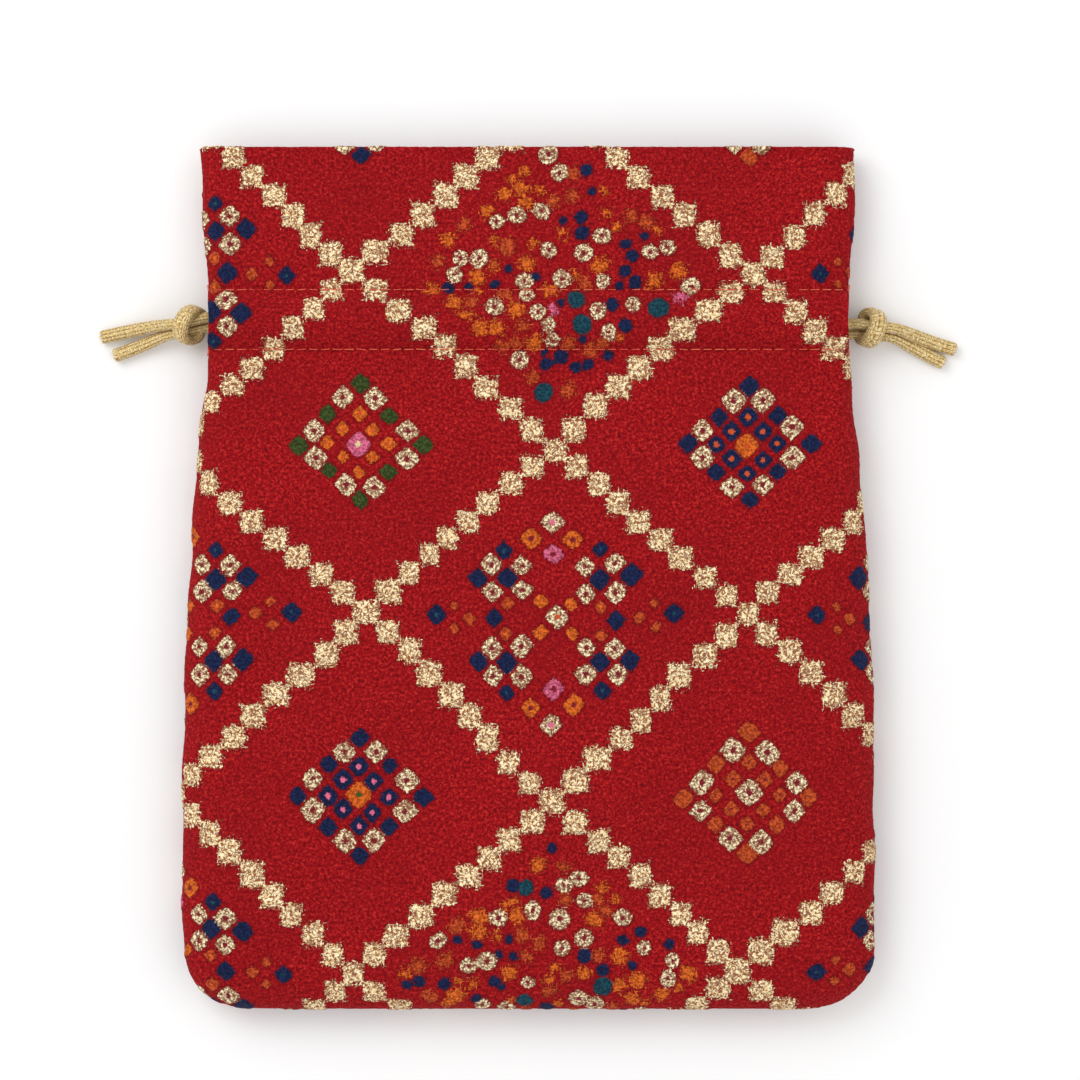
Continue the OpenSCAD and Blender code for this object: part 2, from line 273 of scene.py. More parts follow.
def cord_material():
    """Knitted cord of pale metallic gold yarn, darker between its loops: painted shade in the hollows, with
    small painted glints.
    """
    t = Tree("knitted_gold_cord")
    place = t.attribute("cloth", "Vector")
    loop = t.attribute("loop")
    grain = t.noise(place, 2.2, 3.0, 0.65, 0.6)
    glint = t.noise(place, 2.8, 1.0, 0.5)
    # Darker where the loops and the grain lie low, where the bump sinks: painted shade between the loops. The
    # glint noise paints small highlights.
    colour = t.mix(t.ramp(loop, 0.10, 0.62), rgb(0.186, 0.099, 0.016), rgb(0.744, 0.507, 0.174))
    colour = t.mix(t.ramp(grain, 0.44, 0.36), colour, rgb(0.279, 0.155, 0.030))
    colour = t.mix(t.ramp(glint, 0.54, 0.62, 0.0, 0.9), colour, rgb(0.93, 0.79, 0.45))
    t.put(colour, t.shader.inputs["Base Color"])
    t.put(t.ramp(grain, 0.3, 0.7, 0.58, 0.36), t.shader.inputs["Roughness"])
    height = t.math("ADD", t.math("MULTIPLY", loop, 0.6), t.math("MULTIPLY", grain, 0.7))
    t.put(t.bump(height, 0.7, 0.0004), t.shader.inputs["Normal"])
    t.shader.inputs["Metallic"].default_value = 0.12
    t.shader.inputs["Sheen Weight"].default_value = 0.2
    return t.material


PLUSH, REVERSE = cloth_material(), reverse_material()
THREAD, CORD = thread_material(), cord_material()


# ---------------------------------------------------------------- mesh helpers
def waves(x, y, length, seed, count=28):
    """A smooth random field of about unit size, with a wavelength of about length."""
    r = np.random.default_rng(seed)
    total = np.zeros(np.broadcast(x, y).shape)
    for _ in range(count):
        angle, phase = r.uniform(0, 2 * math.pi, 2)
        k = 2 * math.pi / (length * r.uniform(0.7, 1.5))
        total += np.sin(k * (x * math.cos(angle) + y * math.sin(angle)) + phase)
    return total / math.sqrt(count / 2)


def quads_of(rows, cols, flip, wrap=False):
    """The four-sided faces of a grid of points, closed across its columns if wrap."""
    r, c = np.meshgrid(np.arange(rows - 1), np.arange(cols if wrap else cols - 1), indexing="ij")
    a, b = (r * cols + c).ravel(), (r * cols + (c + 1) % cols).ravel()
    faces = np.stack([a, b, b + cols, a + cols], 1)
    return faces[:, ::-1] if flip else faces


def build(name, parts, material, body):
    """One piece of several grids. A part is (points in mm, faces, {attribute: values})."""
    mesh = bpy.data.meshes.new(name)
    points, faces, values, start = [], [], {}, 0
    for p, f, extra in parts:
        p = np.asarray(p, float).reshape(-1, 3)
        points.append(p)
        faces.extend([i + start for i in face] for face in (f if isinstance(f, list) else f.tolist()))
        start += len(p)
        for key, value in extra.items():
            values.setdefault(key, []).append(np.asarray(value, float).reshape(len(p), -1))
    mesh.from_pydata((np.concatenate(points) * MM).tolist(), [], faces)
    for key, value in values.items():
        value = np.concatenate(value)
        kind = {1: "FLOAT", 3: "FLOAT_VECTOR", 4: "FLOAT_COLOR"}[value.shape[1]]
        field = {1: "value", 3: "vector", 4: "color"}[value.shape[1]]
        mesh.attributes.new(key, kind, "POINT").data.foreach_set(field, value.astype(np.float32).ravel())
    mesh.polygons.foreach_set("use_smooth", np.ones(len(mesh.polygons), bool))
    mesh.update()
    mesh.materials.append(material)
    piece = bpy.data.objects.new(name, mesh)
    scene.collection.objects.link(piece)
    if body:
        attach(piece, body)
    return piece


def unit(a):
    return a / np.maximum(np.linalg.norm(a, axis=-1, keepdims=True), 1e-12)


def curve_through(points, step):
    """Points about step apart on a smooth curve through the given ones."""
    p = np.asarray(points, float)
    p = np.vstack([2 * p[0] - p[1], p, 2 * p[-1] - p[-2]])
    out = []
    for i in range(1, len(p) - 2):
        a, b, c, d = p[i - 1], p[i], p[i + 1], p[i + 2]
        n = max(1, int(round(np.linalg.norm(c - b) / step)))
        m0 = (c - a) * np.linalg.norm(c - b) / (np.linalg.norm(c - b) + np.linalg.norm(b - a))
        m1 = (d - b) * np.linalg.norm(c - b) / (np.linalg.norm(d - c) + np.linalg.norm(c - b))
        t = (np.arange(n) / n)[:, None]
        out.append(
            (2 * t**3 - 3 * t**2 + 1) * b + (t**3 - 2 * t**2 + t) * m0
            + (-2 * t**3 + 3 * t**2) * c + (t**3 - t**2) * m1
        )
    return np.vstack(out + [p[-2][None]])


def frames_along(line, up=(0.0, 0.0, 1.0), centre=None):
    """Each point's direction and two axes across it: facing away from centre, or turning least."""
    d = unit(np.gradient(line, axis=0))
    if centre is not None:
        n = line - centre
        n = unit(n - d * np.sum(n * d, axis=1, keepdims=True))
        return d, n, np.cross(d, n)
    first = np.asarray(up, float) - d[0] * np.dot(up, d[0])
    n = [unit(first)]
    for i in range(1, len(d)):
        a = n[-1] - d[i] * np.dot(n[-1], d[i])
        n.append(unit(a))
    n = np.array(n)
    return d, n, np.cross(d, n)


def knitted(
    line, across, high, wales=10, sides=60, loops=1.05, seed=1, cut=(False, False), centre=None, box=1.0
):
    """A knitted cord along a line: ribs of stacked loops. across and high are its two radii."""
    line = np.asarray(line, float)
    d, up, over = frames_along(line, centre=centre)
    s = np.concatenate([[0], np.cumsum(np.linalg.norm(np.diff(line, axis=0), axis=1))])
    th = np.linspace(0, 2 * math.pi, sides, endpoint=False)
    S, T = np.meshgrid(s, th, indexing="ij")
    u = (T * wales / (2 * math.pi)) % 1.0 * 2 - 1
    stray = 0.12 * waves(S, T * 3, 4.0, seed + 40, 12)
    wale = np.floor(T * wales / (2 * math.pi))
    vee = np.cos(2 * math.pi * (S / loops + stray + 0.42 * np.abs(u) + 0.13 * wale))
    loop = np.sqrt(np.maximum(0, 1 - u * u)) * (0.68 + 0.32 * vee)
    rough = waves(S, T * 1.5, 1.3, seed, 20)
    swell = 0.22 * (loop - 0.9) + 0.022 * rough
    a = (np.broadcast_to(across, len(s))[:, None] + swell)[..., None]
    h = (np.broadcast_to(high, len(s))[:, None] + swell)[..., None]
    c, e = (np.sign(w) * np.abs(w) ** box for w in (np.cos(T), np.sin(T)))
    p = line[:, None] + c[..., None] * over[:, None] * a + e[..., None] * up[:, None] * h
    coords = np.stack([S, T * 1.6, np.full_like(S, seed * 7.0)], -1)
    parts = [(p, quads_of(len(s), sides, False, wrap=True), {"loop": loop, "cloth": coords})]
    r = np.random.default_rng(seed)
    for end, is_cut in ((0, cut[0]), (-1, cut[1])):
        if not is_cut:
            continue
        out = d[end] * (1 if end else -1)
        rings = [p[end]]
        for share, lift in ((0.86, 0.28), (0.62, 0.16), (0.34, -0.15), (0.08, -0.05)):
            jag = r.uniform(-0.16, 0.22, (sides, 1)) if share > 0.3 else 0.0
            rings.append(line[end] + (p[end] - line[end]) * share + out * (lift + jag))
        cap = np.array(rings)
        # The loop values fall towards the middle of each cut end, so its sunken centre is darker: painted
        # shade.
        tone = np.repeat([0.7, 0.55, 0.35, 0.2, 0.15], sides)
        look = {"loop": tone, "cloth": np.tile(coords[end], (5, 1))}
        parts.append((cap, quads_of(5, sides, end == 0, wrap=True), look))
        for _ in range(16):
            angle, reach = r.uniform(0, 2 * math.pi), r.uniform(0.4, 1.0)
            spoke = over[end] * math.cos(angle) * 1.3 + up[end] * math.sin(angle) * 1.0
            root = line[end] + spoke * r.uniform(0.5, 1)
            tip = root + out * reach + (root - line[end]) * 0.15 + r.normal(0, 0.12, 3)
            bend = curve_through([root - out * 0.3, root + out * reach * 0.5, tip], 0.35)
            fibre, faces = tube(bend, FIBRE_R, 5)
            parts.append((fibre, faces, {"loop": np.full(len(fibre), 0.8), "cloth": fibre}))
    return parts


def tube(line, radius, sides=8):
    """Points and faces of a plain tube with closed ends."""
    line = np.asarray(line, float)
    d, up, over = frames_along(line, (0.12, 0.2, 1.0))
    th = np.linspace(0, 2 * math.pi, sides, endpoint=False)
    ring = np.cos(th)[None, :, None] * over[:, None] + np.sin(th)[None, :, None] * up[:, None]
    r = np.broadcast_to(radius, len(line)).astype(float)
    rings = line[:, None] + ring * r[:, None, None]
    first = line[0] - d[0] * r[0] * 0.5 + ring[0] * r[0] * 0.45
    last = line[-1] + d[-1] * r[-1] * 0.5 + ring[-1] * r[-1] * 0.45
    p = np.concatenate([first[None], rings, last[None]]).reshape(-1, 3)
    faces = quads_of(len(line) + 2, sides, False, wrap=True).tolist()
    faces.append(list(range(sides))[::-1])
    faces.append([(len(line) + 1) * sides + k for k in range(sides)])
    return p, faces


# ---------------------------------------------------------------- cords, made first
FRONT_LEAD = {
    -1: [(-87.2, 70.4, 6.6), (-85.8, 70.4, 6.6), (-83.4, 71, 8), (-79.8, 71.3, 11.2)],
    1: [(88.2, 68.7, 6.6), (86.8, 68.7, 6.6), (84.4, 68.4, 8), (80.2, 67.8, 11.2)],
}
BACK_LEAD = {
    -1: [(-79.8, 70.9, 2.9), (-83.4, 69.3, 3.7), (-85.8, 67.9, 4.2), (-87.2, 67.9, 4.2)],
    1: [(80.2, 67.4, 2.9), (84.4, 66.6, 3.7), (86.8, 66.1, 4.2), (88.2, 66.1, 4.2)],
}
UPPER_TAIL = {
    -1: [(-94.8, 68.6, 6.7), (-96.2, 68.6, 6.7), (-99, 68.4, 5.9), (-103, 67.9, 3.8), (-107, 67.2, 2.2),
         (-111, 66.4, 1.6), (-115.5, 65.4, 1.6)],
    1: [(95.8, 67.7, 6.9), (97.2, 67.7, 6.9), (100, 67.2, 6.1), (103.8, 66, 4), (107.6, 64.6, 2.3),
        (111.4, 63.3, 1.6), (115.3, 62.1, 1.6)],
}
LOWER_TAIL = {
    -1: [(-94.8, 66.2, 4.5), (-96.2, 66.2, 4.5), (-98.6, 65.6, 3.8), (-102, 64.3, 2.5), (-105.2, 63, 1.7),
         (-108.6, 61.7, 1.6), (-112, 60.4, 1.6)],
    1: [(95.8, 65.5, 4.4), (97.2, 65.5, 4.4), (99.6, 64.8, 3.8), (102.6, 63.4, 2.6), (105.6, 61.9, 1.7),
        (108.8, 60.2, 1.6), (112.2, 58.5, 1.6)],
}
KNOT_AT = {-1: (-91, 68.4, 5.4), 1: (92, 67.6, 5.4)}


def cord_route(hand):
    """The whole drawcord, from its lower tail's end round the channel to its upper tail's end."""
    y = row_y(CORD_LINE) - hand * RUN_PITCH / 2
    high, low = SEAM_Z + RUN_OFFSET, SEAM_Z - RUN_OFFSET
    bight = [
        (BIGHT_X + RUN_OFFSET * math.cos(math.radians(a)), SEAM_Z + RUN_OFFSET * math.sin(math.radians(a)))
        for a in range(90, -91, -15)
    ]
    stops = [-RUN_END, -RUN_MID, 0, RUN_MID]
    run = [(x, high) for x in stops] + bight + [(x, low) for x in stops[::-1]]
    inside = FRONT_LEAD[hand] + [(-hand * x, y, z) for x, z in run] + BACK_LEAD[hand]
    return UPPER_TAIL[hand][::-1] + inside + LOWER_TAIL[hand]


def knot_parts(hand):
    """The wrap of an overhand knot in doubled cord: a band, two strands wide, round the others."""
    axis = unit(np.array([0.70, -0.44, 0.50] if hand < 0 else [-0.80, 0.36, 0.42]))
    up = unit(np.array([0.0, 0.0, 1.0]) - axis * axis[2])
    over = np.cross(axis, up)
    centre = np.array(KNOT_AT[hand], float) + (0.3 * hand, 0.1, 0.0)
    turn = np.linspace(-0.57, 0.57, 130)
    angle = turn * 2 * math.pi + (0.10 if hand < 0 else -0.25)
    tuck = smooth((np.abs(turn) - 0.40) / 0.17)
    radius = 3.85 - 1.5 * tuck * (turn > 0) - 0.9 * tuck * (turn < 0)
    along = turn * 2.2
    line = (
        centre + along[:, None] * axis
        + (radius * np.cos(angle))[:, None] * up + (radius * 1.05 * np.sin(angle))[:, None] * over
    )
    wide = 2.55 - 0.7 * tuck
    band = knitted(line, wide, 1.42, wales=15, sides=90, seed=11 + hand, centre=centre, box=0.72)
    for p, _, _ in band:
        p[..., 2] = np.maximum(p[..., 2], 0.05)
    return band


for hand, word in ((-1, "left"), (1, "right")):
    body = f"{word}_cord"
    fine = curve_through(cord_route(hand), 0.32)
    # The stretch that stays inside the channel even at full pull has fewer rings.
    inside = np.flatnonzero(fine[:, 0] * hand < 20)
    line = np.delete(fine, [i for k, i in enumerate(inside[1:-1]) if k % 5], axis=0)
    travel = np.concatenate([[0], np.cumsum(np.linalg.norm(np.diff(line, axis=0), axis=1))])
    ends = np.minimum(travel, travel[-1] - travel)
    loose = smooth((21 - ends) / 14)
    across, high = CORD_D / 2 * (0.96 + 0.22 * loose), CORD_D / 2 * (0.96 - 0.03 * loose)
    strand = knitted(line, across, high, seed=3 + hand, cut=(True, True))
    cord = build(f"{word}_drawcord_whole", strand, CORD, body)
    knot = build(f"{word}_overhand_knot", knot_parts(hand), CORD, body)
    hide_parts(f"{word}_knot")
    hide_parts(f"{word}_drawcord", f"{word}_upper_tail", f"{word}_lower_tail")

# ---------------------------------------------------------------- the cloth's pattern
# Gold bands run along a lattice of diamonds; each diamond holds one motif of tufts.
CELL = np.array([51.8, 47.0])
ORIGIN = np.array([6.8, 36.1])
BLOCK = 3.1
STEPS = 9
GRID = np.array([4.15, 3.85])


def hashed(*keys):
    """Steady random numbers from -1 to 1, three for each set of whole-number keys."""
    h = sum(k.astype(np.int64) * m for k, m in zip(keys, (73856093, 19349663, 83492791)))
    return [((h * a + b) % 10007) / 5003.5 - 1 for a, b in ((7919, 11), (104729, 5003), (1299709, 271))]


def gold_distance(x, y):
    """Distance in mm to the nearest gold block, less than zero on one."""
    p, q = (x - ORIGIN[0]) / CELL[0], (y - ORIGIN[1]) / CELL[1]
    best = np.full(x.shape, 99.0)
    for family in (0, 1):
        b = -q if family else q
        m, s = np.round((p - b) / 2), (p + b) / 2
        near = np.round(s * STEPS)
        for k in (near - 1, near, near + 1):
            jx, jy, js = hashed(m + 50, k + 500, np.full_like(m, family))
            bx = (m + k / STEPS) * CELL[0] + ORIGIN[0] + 0.35 * jx
            by = (-m + k / STEPS) * CELL[1] * (-1 if family else 1) + ORIGIN[1] + 0.35 * jy
            dx, dy = np.abs(x - bx), np.abs(y - by)
            best = np.minimum(best, np.maximum(dx, dy) * 0.9 + (dx + dy) * 0.08 - BLOCK - 0.2 * js)
    return best


def floret(tips, ring, inner, core, centre):
    """A diamond of 25 tufts: (column, row, radius, colour, hole's share, hole's colour)."""
    out = []
    for i in range(-4, 5):
        for j in range(-4, 5):
            n = abs(i) + abs(j)
            if n > 4 or n % 2:
                continue
            if n == 4 and (0 in (i, j) or abs(i) == abs(j)):
                out.append((i, j, 2.5 if 0 in (i, j) else 2.25, tips, 0.0, tips))
            elif n == 4:
                out.append((i, j, 2.95, ring, 0.3, WINE))
            elif n == 2:
                out.append((i, j, inner[1], inner[0], core[1], core[0]))
            else:
                out.append((i, j, centre[1], centre[0], 0.28, centre[2]))
    return out


FLORETS = [
    floret(GREEN, CREAM, (ORANGE, 1.85), (RUST, 0.3), (PINK, 3.2, CREAM)),
    floret(NAVY, CREAM, (NAVY, 2.45), (RUST, 0.34), (ORANGE, 3.3, RUST)),
    floret(NAVY, CREAM, (NAVY, 2.45), (PINK, 0.3), (ORANGE, 3.1, GREEN)),
    floret(RUST, CREAM, (RUST, 1.9), (WINE, 0.25), (CREAM, 3.1, WINE)),
]


def clusters():
    """The large structured motif: four clusters, a row of small tufts and pointed ends."""
    out = []
    for a in (-1, 1):
        for b in (-1, 1):
            cx, cy = 3.0 * a, 2.9 * b
            for dx, dy in ((-1, -1), (1, -1), (-1, 1), (1, 1)):
                out.append((cx + dx, cy + dy * 0.95, 2.7, CREAM, 0.3, WINE))
            out.append((cx, cy, 2.75, NAVY, 0.0, NAVY))
            out.append((cx + 2 * a, cy, 2.75, NAVY, 0.0, NAVY))
            out.append((cx, cy + 2 * b, 2.2, NAVY, 0.25, TEAL))
            out.append((0.95 * a, 1.05 * b, 1.9, ORANGE, 0.25, RUST))
            out.append((3.0 * a, 1.0 * b, 1.8, RUST, 0.25, ORANGE))
            out.append((1.25 * a, 5.75 * b, 2.5, ORANGE, 0.32, WINE))
            out.append((6.6 * a, 0.8 * b, 1.3, RUST, 0.0, RUST))
        out.append((0, 4.65 * a, 2.6, PINK, 0.34, WINE))
        out.append((0, 6.9 * a, 2.6, CREAM, 0.32, PINK))
        out.append((4.0 * a, 0, 2.5, NAVY, 0.0, TEAL))
        out.append((7.8 * a, 0, 2.5, NAVY, 0.2, TEAL))
        out.append((5.6 * a, 0, 1.7, RUST, 0.0, RUST))
    out.append((0, 0, 2.9, CREAM, 0.24, RUST))
    return out


def scattered(seed):
    """A loose diamond of round tufts in mixed colours and orange smears, placed by a seed."""
    r = np.random.default_rng(seed)
    kinds = [
        (TEAL, 2.5, 0.0, NAVY, 4), (CREAM, 2.3, 0.3, WINE, 26), (ORANGE, 2.2, 0.0, SMEAR, 17),
        (NAVY, 1.75, 0.0, NAVY, 15), (NAVY, 1.25, 0.0, NAVY, 11), (RUST, 1.9, 0.0, SMEAR, 24),
        (ORANGE, 1.3, 0.0, SMEAR, 18), (PINK, 1.5, 0.0, SMEAR, 4),
    ]
    placed = []
    for colour, radius, hole, inside, count in kinds:
        for _ in range(count * 9):
            if count == 0:
                break
            x, y = r.uniform(-38, 38), r.uniform(-34, 34)
            size = radius * r.uniform(0.85, 1.12)
            inside_motif = abs(x) / 40 + abs(y) / 36 < 1
            if inside_motif and all(math.hypot(x - a, y - b) > (size + c) * 0.96 for a, b, c in placed):
                placed.append((x, y, size))
                count -= 1
                yield (x / GRID[0], y / GRID[1], size, colour, hole, inside)


def all_tufts():
    """Every tuft on the cloth: (x, y, radius, colour, hole's share, hole's colour, squareness)."""
    out = []
    for i in range(-6, 7):
        for j in range(-8, 9):
            if (i + j) % 2 == 0:
                continue
            centre = ORIGIN + CELL * (i, j)
            if i % 2:
                kind, square = FLORETS[((i + 1) // 2 + 2 * (-j // 2)) % 4], 1.0
            elif i % 4 == 0 and j % 4 == 1:
                kind, square = list(scattered(100 + 10 * i + j)), 0.0
            else:
                kind, square = clusters(), 1.0
            r = np.random.default_rng(abs(1000 + 37 * i + j))
            for dx, dy, radius, colour, hole, inside in kind:
                x, y = centre + GRID * (dx, dy) + r.normal(0, 0.22, 2)
                out.append((x, y, radius * r.uniform(0.93, 1.07), colour, hole, inside, square))
    return out


TUFTS = all_tufts()


# The bands were worked by hand, so their crossings wander: (x, y) of some, and how far, in mm.
WANDER = [
    (-45, 83, -1.6, 0.5), (58.6, 83, 1.5, -0.1), (6.8, 36, -0.2, -1.0), (-45, -11, 2.4, 2.6),
    (58.6, -11, -0.4, 1.9), (6.8, -58, -0.2, -1.7), (-45, -105, -1.6, -1.0), (58.6, -105, -2.3, 0.0),
]


def pattern(x, y):
    """The attributes that place the pattern, for cloth points in mm."""
    shift_x, shift_y = 0.35 * waves(x, y, 30, 31, 10), 0.35 * waves(x, y, 30, 32, 10)
    for px, py, dx, dy in WANDER:
        near = np.exp(-((x - px) ** 2 + (y - py) ** 2) / 26**2)
        shift_x, shift_y = shift_x + dx * near, shift_y + dy * near
    x, y = x - shift_x, y - shift_y
    far = 6.0
    dot = np.full(x.shape, far)
    core = np.full(x.shape, far)
    pale, smear = np.zeros(x.shape), np.zeros(x.shape)
    tone, inner = np.zeros(x.shape + (3,)), np.zeros(x.shape + (3,))
    flat_x, flat_y = x.ravel(), y.ravel()
    box = (flat_x.min() - 6, flat_x.max() + 6, flat_y.min() - 6, flat_y.max() + 6)
    order = np.argsort(flat_y)
    ranked = flat_y[order]
    d_f, c_f, p_f, s_f = dot.ravel(), core.ravel(), pale.ravel(), smear.ravel()
    t_f, i_f = tone.reshape(-1, 3), inner.reshape(-1, 3)
    for tx, ty, radius, colour, hole, inside, square in TUFTS:
        if not (box[0] < tx < box[1] and box[2] < ty < box[3]):
            continue
        lo, hi = np.searchsorted(ranked, (ty - radius - 3, ty + radius + 3))
        near = order[lo:hi]
        near = near[np.abs(flat_x[near] - tx) < radius + 3]
        dx, dy = np.abs(flat_x[near] - tx), np.abs(flat_y[near] - ty)
        size = np.hypot(dx, dy) * (1 - 0.62 * square) + (dx + dy) * 0.62 * square * 0.86
        d = size - radius
        win = d < d_f[near]
        at = near[win]
        d_f[at] = d[win]
        c_f[at] = size[win] - radius * hole if hole else far
        p_f[at], s_f[at] = float(colour is CREAM), float(inside is SMEAR)
        t_f[at], i_f[at] = colour, inside
    alpha = np.ones(x.shape + (1,))
    return {
        "gold_d": gold_distance(x, y),
        "dot_d": dot,
        "core_d": core,
        "dot_pale": pale,
        "dot_smear": smear,
        "dot_rgb": np.concatenate([tone, alpha], -1),
        "core_rgb": np.concatenate([inner, alpha], -1),
    }


# ---------------------------------------------------------------- the cloth panels
FLAT_COLS, RIM_COLS = 150, 34  # Columns across half a panel at a cell of 0.5 mm.
TURN_IN = ((0.25, 0.16), (0.8, 0.26), (1.5, 0.28))
FOLD_R = 0.8  # Radius of the fold at the mouth.
BACK_INWARD = 0.2  # Share of a ripple that is left where the back cloth would ripple into the cords.
FRONT_TRIM, BACK_TRIM = 0.15, 0.42  # How far the cloth is kept inside the CAD's outer faces.
EDGE_WOBBLE = 0.26
SLIT_GAP = 0.30
GROOVE_DEPTH, GROOVE_W = 0.6, 0.9  # The narrow groove along the side and bottom seams.
TUG_DEPTH, TUG_WAVE, TUG_W = 0.34, 0.12, 1.0  # How far a stitch line pulls the cloth in.
FRONT_CELL, BACK_CELL = 0.5, 0.7
BAND_LIFT, TUFT_LIFT, CORE_DIP, NAP_LIFT = 0.26, 0.24, 0.12, 0.025
EDGE_FADE = 4  # Columns over which the embroidery flattens towards the turned-in edge.


def panel_rows(cell):
    """Rows up the outside of a panel, over the fold at the mouth and down the hem inside it."""
    rows = []
    for a in np.linspace(0, math.pi / 2, int(20 / cell)):
        v = BELLY_RIM * (1 - math.cos(a))
        rows.append(("out", v, math.sin(a), 0.0))
    for low, high in ((BELLY_RIM, LOWER), (LOWER, UPPER), (UPPER, LENGTH - FOLD_R)):
        n = int(round((high - low) / cell))
        rows += [("out", low + (high - low) * k / n, 1.0, 0.0) for k in range(1, n + 1)]
    for a in np.linspace(0, math.pi, 11)[1:-1]:
        rows.append(("fold", LENGTH - FOLD_R + FOLD_R * math.sin(a), 1.0, a))
    for high, low in ((LENGTH - FOLD_R, UPPER), (UPPER, LOWER - HEM_TAIL)):
        n = int(round((high - low) / cell))
        first = 0 if rows[-1][0] == "fold" else 1
        rows += [("in", high - (high - low) * k / n, 1.0, math.pi) for k in range(first, n + 1)]
    return rows


def gathers(x, v, seed):
    """Soft upright ripples, strongest at the channel."""
    near = np.exp(-np.maximum(0, LOWER - v) / 16) * np.exp(-np.maximum(0, v - UPPER) / 22)
    ripple = waves(x, v * 0.10, 8.5, seed, 16)
    return near * (0.20 + 0.05 * waves(x, v, 30, seed + 1)) * ripple


def panel_grid(facing, hand, cell):
    """Points, cloth places and row kinds for one half of a panel."""
    rows = panel_rows(cell)
    kind = np.array([r[0] for r in rows])
    v, share, fold = (np.array([r[k] for r in rows], float) for k in (1, 2, 3))
    over = (1 - np.cos(fold)) / 2
    belly = BELLY_FRONT if facing > 0 else CHANNEL_DEPTH
    crown = CROWN if facing > 0 else 0.0
    trim = FRONT_TRIM if facing > 0 else BACK_TRIM

    out_depth = np.where(
        v > LOWER,
        HEADER_DEPTH + (CHANNEL_DEPTH - HEADER_DEPTH) * bulge(v),
        HEADER_DEPTH + (belly - HEADER_DEPTH) * smooth((LOWER - v) / 45),
    )
    in_depth = HEADER_DEPTH - 2 * FOLD_R - HEM_DIP * bulge(v)
    depth = out_depth * (1 - over) + in_depth * over - np.where(over < 1, trim * (1 - over), 0)
    rim_out = NECK_RIM + (BELLY_RIM - NECK_RIM) * smooth((LOWER - v) / 70)
    rim = rim_out * (1 - over) + 4.0 * over
    hem_half = side(v) - 1.4 - 6.8 * smooth((UPPER + 10 - v) / 8)
    half = half_width(v) * (1 - over) + hem_half * over
    half = half + EDGE_WOBBLE * waves(v * 0 + 9 * hand, v, 24, 33) * smooth(np.abs(v - CORD_LINE) / 10 - 1)
    slit = np.where(kind == "out", (CHANNEL_DEPTH - SLIT_GAP) * np.sqrt(bulge(v)), 0.0)

    cols = int(round(FLAT_COLS * 0.5 / cell)), int(round(RIM_COLS * 0.5 / cell))
    q = np.linspace(0, 1, cols[0] + 1)
    a = np.linspace(math.pi / 2, 0, cols[1] + 1)[1:]
    flat = half - rim
    x = np.concatenate([flat[:, None] * q, half[:, None] - rim[:, None] * (1 - np.cos(a))], 1)
    up = np.concatenate([np.ones_like(q), np.sin(a)])[None]
    z = slit[:, None] + (depth - slit)[:, None] * up * share[:, None]
    across = np.concatenate([q * 0.5, 1 - a / math.pi])[None]
    z = z + crown * np.cos(across * math.pi / 2) ** 2 * (smooth((LOWER - v) / 60) * smooth(v / 60))[:, None]
    # The side and bottom seams pull the cloth in along a narrow groove.
    groove = GROOVE_DEPTH * np.exp(-((z / GROOVE_W) ** 2)) * (kind == "out")[:, None]
    x = x - groove * smooth(np.abs(v - CORD_LINE) / 8 - 0.9)[:, None] * (share > 0.6)[:, None]
    turned_x = [x[:, -1] - dx for dx, _ in TURN_IN]
    turned_z = [np.maximum(z[:, -1] - dz, 0.1) for _, dz in TURN_IN]
    x = np.concatenate([x, np.stack(turned_x, 1)], 1)
    z = np.concatenate([z, np.stack(turned_z, 1)], 1)

    X, V = hand * x, np.broadcast_to(v[:, None], x.shape)
    step = np.hypot(np.diff(x, axis=1), np.diff(z, axis=1) * np.where(share < 1, 0, 1)[:, None])
    cloth_x = hand * np.concatenate([np.zeros((len(v), 1)), np.cumsum(step, 1)], 1)
    rise = np.hypot(np.diff(v), np.diff(depth * share))
    travel = np.concatenate([[0], np.cumsum(rise)])
    anchor = int(np.argmin(np.abs(np.where(kind == "out", v, 1e9) - 120)))
    cloth_y = np.broadcast_to((travel - travel[anchor] + row_y(v[anchor]))[:, None], x.shape)

    flat_zone = smooth((half[:, None] - np.abs(x)) / 22) * smooth(V / 30) * (share > 0.99)[:, None]
    ripple = gathers(X, V, 5 if facing > 0 else 6)
    if facing < 0:
        # The cords lie on the inside of the back cloth, which hardly ripples up into them.
        ripple = np.where(ripple < 0, BACK_INWARD * ripple, ripple)
    z = z + ripple * up_pad(up, x.shape) * share[:, None]
    if facing > 0:
        drape = 0.55 * waves(X, V, 62, 21) + 0.22 * waves(X, V, 27, 22)
        z = z + drape * flat_zone * smooth((LOWER - 8 - V) / 30)
        inner = smooth((half[:, None] - np.abs(x)) / 12)
        z = z + 0.28 * waves(X, V, 34, 23) * smooth((V - UPPER - 4) / 14) * (kind == "out")[:, None] * inner
    for line in (LOWER, UPPER):
        tug = TUG_DEPTH + TUG_WAVE * np.cos(2 * math.pi * X / STITCH_PITCH)
        sign = np.where(over < 0.5, -1, 1)[:, None]
        z = z + sign * tug * np.exp(-(((V - line) / TUG_W) ** 2)) * up_pad(up, x.shape)
    hollow = GROOVE_DEPTH * np.exp(-((z / GROOVE_W) ** 2)) * (V < 8) * (share < 0.8)[:, None]
    points = np.stack([X, row_y(V) + hollow, SEAM_Z + facing * z - lean(V)], -1)
    cloth = np.stack([cloth_x, cloth_y, np.zeros_like(x)], -1)
    if facing < 0:
        cloth = cloth * (-1, 1, 1) + (31.0, 12.0, 0)
    return points, cloth, kind, v


def up_pad(up, shape):
    """The rim's rise, carried on over the turned-in columns."""
    return np.concatenate([up, np.zeros((1, shape[1] - up.shape[1]))], 1)


